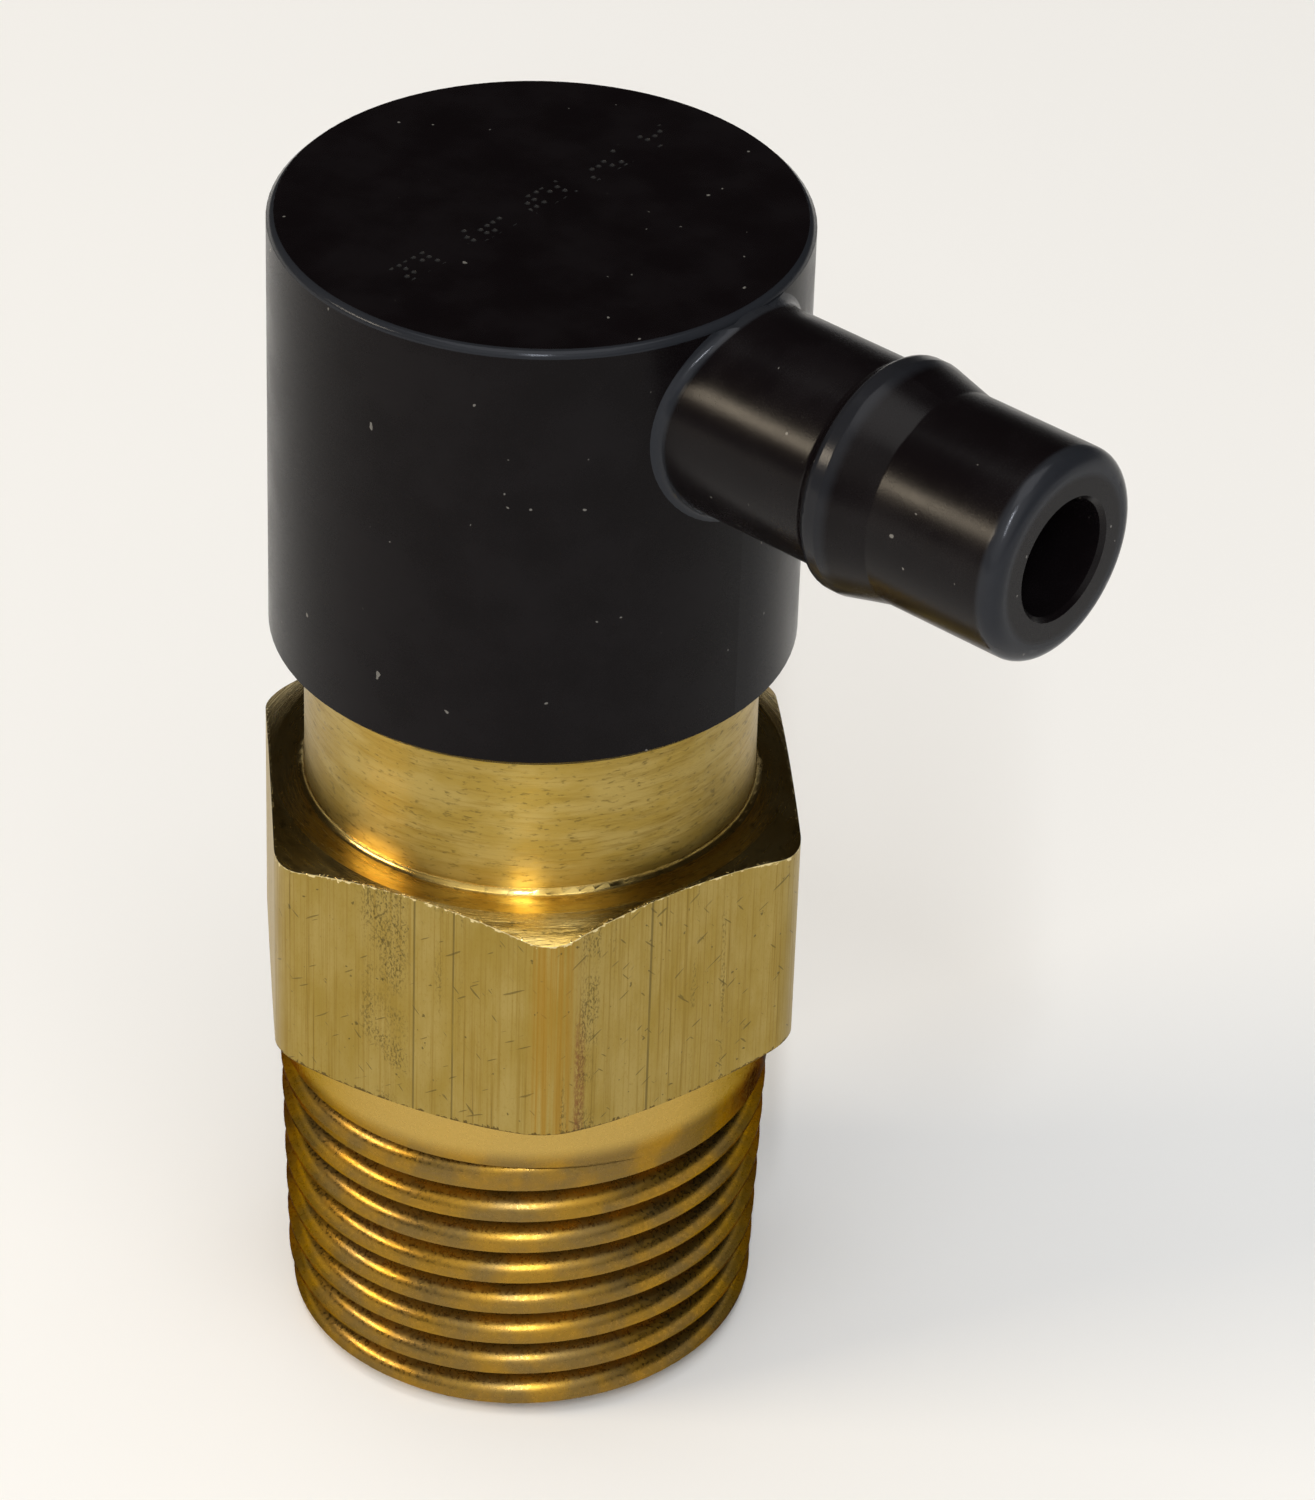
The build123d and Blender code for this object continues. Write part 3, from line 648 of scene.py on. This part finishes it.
back = towards(AZIMUTH, ELEVATION)
right = Vector((cos(AZIMUTH), sin(AZIMUTH), 0.0))
up = back.cross(right)
camera_x = right * cos(ROLL) + up * sin(ROLL)
camera_y = up * cos(ROLL) - right * sin(ROLL)
eye = TARGET + back * DISTANCE
aim = TARGET + camera_x * AIM_RIGHT + camera_y * AIM_UP
axis_z = (eye - aim).normalized()
axis_x = camera_y.cross(axis_z).normalized()
axis_y = axis_z.cross(axis_x)

camera_data = bpy.data.cameras.new("camera")
camera_data.lens = 150.53
camera_data.sensor_width = 36.0
camera_data.clip_start = 0.005
camera_data.clip_end = 10.0
camera = bpy.data.objects.new("camera", camera_data)
scene.collection.objects.link(camera)
turned = Matrix((axis_x, axis_y, axis_z)).transposed().to_4x4()
camera.matrix_world = Matrix.Translation(eye) @ turned
scene.camera = camera

# ---------------------------------------------------------------- floor
floor_mesh = bpy.data.meshes.new("floor")
SPAN = 1.6
FLOOR_GAP = 0.00002
floor_mesh.from_pydata(
    [(-SPAN, -SPAN, 0.0), (SPAN, -SPAN, 0.0), (SPAN, SPAN, 0.0), (-SPAN, SPAN, 0.0)],
    [],
    [(0, 1, 2, 3)],
)
floor = bpy.data.objects.new("floor", floor_mesh)
floor.location.z = -FLOOR_GAP
scene.collection.objects.link(floor)
paper, graph, shader = new_material("floor_paper")
place = Place(graph)
tone = graph.noise(place.position, 0.02, detail=2.0)
white = graph.mix(tone, rgb((0.90, 0.90, 0.90)), rgb((0.92, 0.92, 0.915)))
graph.feed(shader.inputs["Base Color"], white)
shader.inputs["Roughness"].default_value = 0.85
shader.inputs["Specular IOR Level"].default_value = 0.2
floor_mesh.materials.append(paper)

# ---------------------------------------------------------------- room
GLOW_LIFT = radians(36)
GLOW = (1.10, 1.08, 1.04)
BACKDROP = (0.86, 0.86, 0.86)

world = bpy.data.worlds.new("room")
scene.world = world
world.use_nodes = True
graph = Graph(world.node_tree)
direction = graph.node("ShaderNodeTexCoord").outputs["Generated"]
split = graph.node("ShaderNodeSeparateXYZ", {"Vector": direction})
room = graph.gradient(
    graph.math("MAXIMUM", split.outputs[2], 0.0),
    (
        (0.0, (0.30, 0.30, 0.30)),
        (0.10, (0.10, 0.097, 0.094)),
        (0.28, (0.016, 0.014, 0.013)),
        (0.90, (0.020, 0.018, 0.017)),
        (0.99, (0.40, 0.39, 0.38)),
    ),
)
glow_axis = tuple(towards(AZIMUTH, GLOW_LIFT))
facing = graph.vector("DOT_PRODUCT", direction, glow_axis)
room = graph.mix(graph.ramp(facing, 0.62, 0.95), room, rgb(GLOW))
seen = graph.node("ShaderNodeLightPath").outputs["Is Camera Ray"]
room = graph.mix(seen, room, rgb(BACKDROP))
background = graph.node("ShaderNodeBackground", {"Color": room, "Strength": 1.0})
output = graph.node("ShaderNodeOutputWorld")
graph.tree.links.new(background.outputs[0], output.inputs[0])


# ---------------------------------------------------------------- lights
def lamp(name, turn, lift, distance, width, height, radiance, colour):
    """Soft box that faces the valve. turn is degrees right of the camera."""
    outward = towards(AZIMUTH + radians(turn), radians(lift))
    data = bpy.data.lights.new(name, "AREA")
    data.shape = "RECTANGLE"
    data.size = width
    data.size_y = height
    data.color = colour
    data.energy = radiance * width * height * pi
    light = bpy.data.objects.new(name, data)
    scene.collection.objects.link(light)
    light.location = TARGET + outward * distance
    light.rotation_euler = outward.to_track_quat("Z", "Y").to_euler()
    light.visible_camera = False


lamp("overhead", 0, 88, 1.0, 0.80, 0.80, 1.9, (1.0, 0.99, 0.97))
lamp("front_strip", -1, 43, 0.7, 0.022, 0.34, 84.0, (0.94, 0.97, 1.0))
lamp("warm_strip", -78, 27, 0.8, 0.34, 0.13, 21.0, (1.0, 0.85, 0.64))
